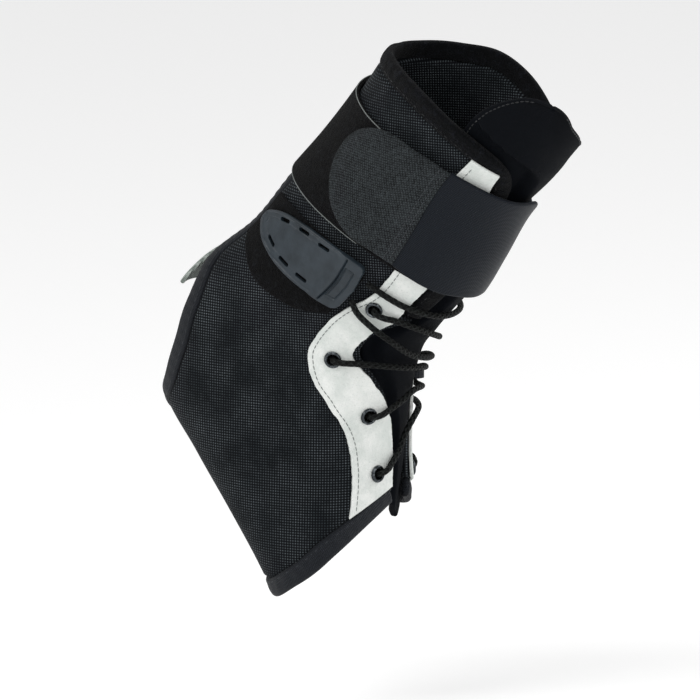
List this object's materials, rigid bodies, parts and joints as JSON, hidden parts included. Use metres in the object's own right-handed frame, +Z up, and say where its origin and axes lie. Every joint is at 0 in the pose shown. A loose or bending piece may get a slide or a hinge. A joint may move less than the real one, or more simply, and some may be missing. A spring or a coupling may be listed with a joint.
{
  "type": "lace-up ankle brace",
  "caption": "Lace-up ankle brace for a right foot: mesh side panels, tongue, suede eyestays with a lace and pull tab, and a hook-and-loop strap round the shin.",
  "frame": {"origin": "centre of the wearer's ankle joint, inside the brace", "axes": "+Z up, with the toes pointing down as on a raised foot; X-Z is the foot's own plane, with the toes towards +X and -Z, and -Y is the outer side of the right foot"},
  "size_m": [0.2161, 0.0833, 0.243],
  "materials": {
    "mesh_cloth": "open mesh laminate",
    "suede": "fuzzy suede",
    "binding_tape": "smooth woven tape",
    "ribbed_elastic": "ribbed elastic",
    "loop_plush": "plush loop cloth",
    "strap_elastic": "smooth elastic",
    "hook_cloth": "knurled hook cloth",
    "tab_rubber": "satin rubber",
    "tongue_cloth": "smooth padded cloth",
    "lace_cord": "braided cord",
    "eyelet_metal": "dark polished metal"
  },
  "bodies": {
    "root": {"side_panel_outer": "mesh_cloth", "side_panel_inner": "mesh_cloth", "eyestay_outer": "suede", "eyestay_inner": "suede", "collar_binding": "binding_tape", "toe_binding": "binding_tape", "heel_binding": "binding_tape", "back_insert": "ribbed_elastic", "loop_band": "loop_plush", "front_strap": "strap_elastic", "strap_end": "hook_cloth", "tab_patch": "loop_plush", "lace_tab": "tab_rubber", "tongue": "tongue_cloth", "lace": "lace_cord", "lace_loop": "binding_tape", "eyelet_outer_1": "eyelet_metal", "eyelet_outer_2": "eyelet_metal", "eyelet_outer_3": "eyelet_metal", "eyelet_outer_4": "eyelet_metal", "eyelet_inner_1": "eyelet_metal", "eyelet_inner_2": "eyelet_metal", "eyelet_inner_3": "eyelet_metal", "eyelet_inner_4": "eyelet_metal"}
  },
  "joints": []
}
